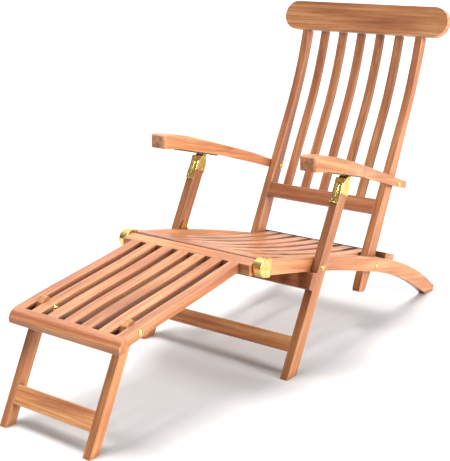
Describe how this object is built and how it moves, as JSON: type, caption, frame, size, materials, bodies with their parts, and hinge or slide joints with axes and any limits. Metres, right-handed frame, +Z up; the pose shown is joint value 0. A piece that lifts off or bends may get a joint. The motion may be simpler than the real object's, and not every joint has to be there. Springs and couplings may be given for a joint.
{
  "type": "folding deck chair",
  "caption": "Folding wooden steamer deck chair: slatted reclining back, dished seat, armrests on notched racks, hinged slatted footrest and folding legs with brass fittings.",
  "frame": {"origin": "on the ground, under the centre of the bounding box, with the chair set up for use", "axes": "+X across the chair towards the pieces named right, +Y from the foot end to the backrest, +Z up"},
  "size_m": [0.61, 1.6415, 0.9781],
  "materials": {
    "teak": "oiled teak, satin",
    "brass": "polished"
  },
  "bodies": {
    "seat_frame": {"seat_rail_right": "teak", "seat_rail_left": "teak", "seat_front_rail": "teak", "seat_rear_rail": "teak", "seat_slat_1": "teak", "seat_slat_2": "teak", "seat_slat_3": "teak", "seat_slat_4": "teak", "seat_slat_5": "teak", "seat_slat_6": "teak", "seat_slat_7": "teak", "rail_cap_right": "brass", "rail_cap_left": "brass", "footrest_pin_right": "brass", "footrest_pin_left": "brass", "rail_gusset_right": "brass", "rail_gusset_left": "brass"},
    "leg_frame": {"main_leg_right": "teak", "main_leg_left": "teak", "leg_upper_rail": "teak", "leg_stretcher": "teak", "leg_pivot_bolt_right": "brass", "leg_pivot_bolt_left": "brass", "catch_bracket_right": "brass", "catch_bracket_left": "brass", "catch_pin_right": "brass", "catch_pin_left": "brass"},
    "back_pivots": {"back_pivot_bolt_right": "brass", "back_pivot_bolt_left": "brass"},
    "backrest": {"back_stile_right": "teak", "back_stile_left": "teak", "headrest": "teak", "back_lower_rail": "teak", "back_slat_1": "teak", "back_slat_2": "teak", "back_slat_3": "teak", "back_slat_4": "teak", "back_slat_5": "teak"},
    "arm_bolt_right": {"arm_pivot_bolt_right": "brass"},
    "arm_bolt_left": {"arm_pivot_bolt_left": "brass"},
    "right_armrest": {"armrest_right": "teak", "arm_rack_right": "brass"},
    "left_armrest": {"armrest_left": "teak", "arm_rack_left": "brass"},
    "footrest": {"foot_side_rail_right": "teak", "foot_side_rail_left": "teak", "foot_front_rail": "teak", "foot_cross_rail": "teak", "foot_slat_1": "teak", "foot_slat_2": "teak", "foot_slat_3": "teak", "foot_slat_4": "teak", "foot_slat_5": "teak", "foot_batten": "teak"},
    "footrest_legs": {"foot_leg_right": "teak", "foot_leg_left": "teak", "foot_stretcher": "teak", "foot_pivot_bolt_right": "brass", "foot_pivot_bolt_left": "brass"}
  },
  "joints": [
    {"name": "leg_fold", "type": "hinge", "parent": "seat_frame", "child": "leg_frame", "pos_m": [0, 0.0293, 0.286], "axis": [1, 0, 0], "range_deg": [0, 83]},
    {"name": "back_fold", "type": "hinge", "parent": "seat_frame", "child": "back_pivots", "pos_m": [0, 0.3943, 0.194], "axis": [1, 0, 0], "range_deg": [0, 83]},
    {"name": "back_recline", "type": "hinge", "parent": "back_pivots", "child": "backrest", "pos_m": [0, 0.3943, 0.194], "axis": [1, 0, 0], "range_deg": [-21, 0]},
    {"name": "arm_fold_right", "type": "hinge", "parent": "backrest", "child": "arm_bolt_right", "pos_m": [0, 0.5223, 0.434], "axis": [1, 0, 0], "range_deg": [-86.3, 0]},
    {"name": "arm_fold_left", "type": "hinge", "parent": "backrest", "child": "arm_bolt_left", "pos_m": [0, 0.5223, 0.434], "axis": [1, 0, 0], "range_deg": [-86.3, 0]},
    {"name": "arm_tilt_right", "type": "hinge", "parent": "arm_bolt_right", "child": "right_armrest", "pos_m": [0, 0.5223, 0.434], "axis": [1, 0, 0], "range_deg": [0, 15.75]},
    {"name": "arm_tilt_left", "type": "hinge", "parent": "arm_bolt_left", "child": "left_armrest", "pos_m": [0, 0.5223, 0.434], "axis": [1, 0, 0], "range_deg": [0, 15.75]},
    {"name": "footrest_swing", "type": "hinge", "parent": "seat_frame", "child": "footrest", "pos_m": [0, -0.2247, 0.345], "axis": [1, 0, 0], "range_deg": [-40, 85]},
    {"name": "footrest_leg_fold", "type": "hinge", "parent": "footrest", "child": "footrest_legs", "pos_m": [0, -0.6617, 0.284], "axis": [1, 0, 0], "range_deg": [0, 100]}
  ],
  "couplings": [
    {"joint": "back_fold", "follows": "leg_fold", "ratio": 1},
    {"joint": "arm_fold_right", "follows": "leg_fold", "ratio": -1.04},
    {"joint": "arm_fold_left", "follows": "leg_fold", "ratio": -1.04},
    {"joint": "arm_tilt_right", "follows": "back_recline", "ratio": -0.75},
    {"joint": "arm_tilt_left", "follows": "back_recline", "ratio": -0.75}
  ]
}
